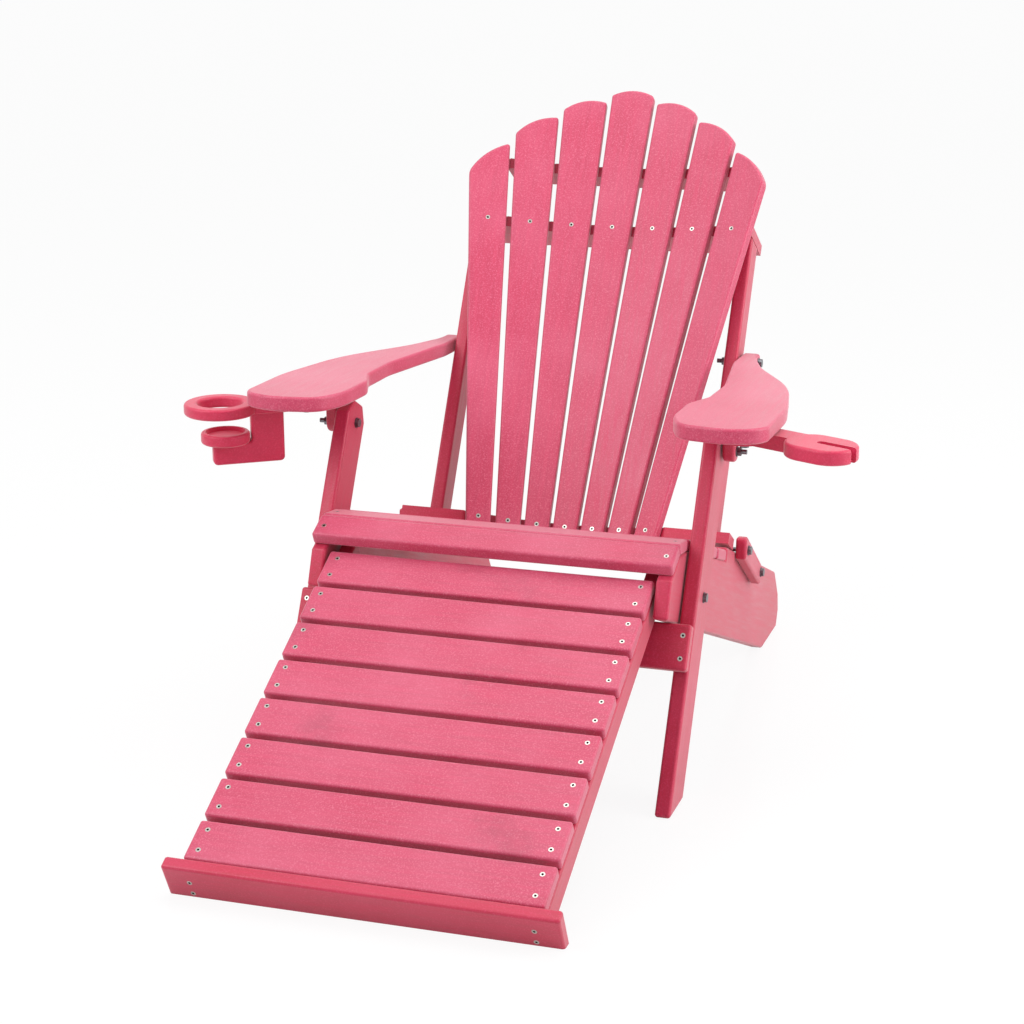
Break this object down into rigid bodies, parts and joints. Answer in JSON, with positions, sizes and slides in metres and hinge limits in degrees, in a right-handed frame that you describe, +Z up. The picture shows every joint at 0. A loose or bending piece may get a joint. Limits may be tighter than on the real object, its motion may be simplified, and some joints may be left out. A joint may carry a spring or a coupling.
{
  "type": "folding adirondack chair",
  "caption": "Slatted poly-lumber adirondack lounge chair that folds, with a footrest, swing-out cup ring and stemmed-glass holder under its broad arms.",
  "frame": {"origin": "on the floor, in the middle of the chair's width, below the front ends of the seat stringers", "axes": "+X to the sitter's left, +Y to the rear, +Z up; the chair faces -Y"},
  "size_m": [1.1537, 1.5219, 1.0332],
  "materials": {
    "poly_lumber": "satin, fine grain",
    "stainless_screw": "bright",
    "bolt_steel": "bright"
  },
  "bodies": {
    "seat_frame": {"left_stringer": "poly_lumber", "right_stringer": "poly_lumber", "seat_nosing": "poly_lumber", "seat_plank_1": "poly_lumber", "seat_plank_2": "poly_lumber", "seat_plank_3": "poly_lumber", "seat_plank_4": "poly_lumber", "seat_plank_5": "poly_lumber", "seat_screws": "stainless_screw"},
    "front_legs": {"left_leg": "poly_lumber", "right_leg": "poly_lumber", "front_stretcher": "poly_lumber", "stretcher_screws": "stainless_screw", "leg_pivot_bolts": "bolt_steel"},
    "arms": {"left_arm": "poly_lumber", "right_arm": "poly_lumber", "left_arm_cleat": "poly_lumber", "right_arm_cleat": "poly_lumber", "left_arm_lug": "poly_lumber", "right_arm_lug": "poly_lumber", "arm_lug_bolts": "bolt_steel", "arm_tail_bolts": "bolt_steel", "holder_pivot_bolts": "bolt_steel"},
    "back_links": {"left_back_link": "poly_lumber", "right_back_link": "poly_lumber", "link_bolts": "bolt_steel"},
    "back": {"back_slat_1": "poly_lumber", "back_slat_2": "poly_lumber", "back_slat_3": "poly_lumber", "back_slat_4": "poly_lumber", "back_slat_5": "poly_lumber", "back_slat_6": "poly_lumber", "back_slat_7": "poly_lumber", "lower_back_rail": "poly_lumber", "mid_back_brace": "poly_lumber", "upper_back_brace": "poly_lumber", "left_upright": "poly_lumber", "right_upright": "poly_lumber", "back_screws": "stainless_screw", "upright_nuts": "bolt_steel"},
    "footrest": {"footrest_slat_1": "poly_lumber", "footrest_slat_2": "poly_lumber", "footrest_slat_3": "poly_lumber", "footrest_slat_4": "poly_lumber", "footrest_slat_5": "poly_lumber", "footrest_slat_6": "poly_lumber", "footrest_slat_7": "poly_lumber", "footrest_slat_8": "poly_lumber", "left_footrest_rail": "poly_lumber", "right_footrest_rail": "poly_lumber", "footrest_end_board": "poly_lumber", "footrest_screws": "stainless_screw", "footrest_pivot_pins": "bolt_steel"},
    "cup_holder": {"cup_ring": "poly_lumber", "cup_bracket": "poly_lumber", "cup_base": "poly_lumber"},
    "glass_holder_arm": {"glass_holder": "poly_lumber"}
  },
  "joints": [
    {"name": "fold", "type": "hinge", "parent": "seat_frame", "child": "front_legs", "pos_m": [0, 0.127, 0.306], "axis": [1, 0, 0], "range_deg": [0, 80]},
    {"name": "link_turn", "type": "hinge", "parent": "seat_frame", "child": "back_links", "pos_m": [0, 0.622, 0.196], "axis": [1, 0, 0], "range_deg": [-29.72, 0]},
    {"name": "back_turn", "type": "hinge", "parent": "back_links", "child": "back", "pos_m": [0, 0.508, 0.272], "axis": [1, 0, 0], "range_deg": [0, 96.85]},
    {"name": "arm_turn", "type": "hinge", "parent": "front_legs", "child": "arms", "pos_m": [0, 0.246, 0.525], "axis": [1, 0, 0], "range_deg": [-69.34, 0]},
    {"name": "footrest_tilt", "type": "hinge", "parent": "seat_frame", "child": "footrest", "pos_m": [0, 0.04764, 0.31423], "axis": [-1, 0, 0], "range_deg": [0, 38]},
    {"name": "cup_swing", "type": "hinge", "parent": "arms", "child": "cup_holder", "pos_m": [-0.385, 0.2, 0.57914], "axis": [0, 0, 1], "range_deg": [-55, 25]},
    {"name": "glass_swing", "type": "hinge", "parent": "arms", "child": "glass_holder_arm", "pos_m": [0.385, 0.2, 0.57914], "axis": [0, 0, 1], "range_deg": [-35, 45]}
  ],
  "couplings": [
    {"joint": "link_turn", "follows": "fold", "ratio": -0.37154},
    {"joint": "back_turn", "follows": "fold", "ratio": 1.2107},
    {"joint": "arm_turn", "follows": "fold", "ratio": -0.86676}
  ]
}
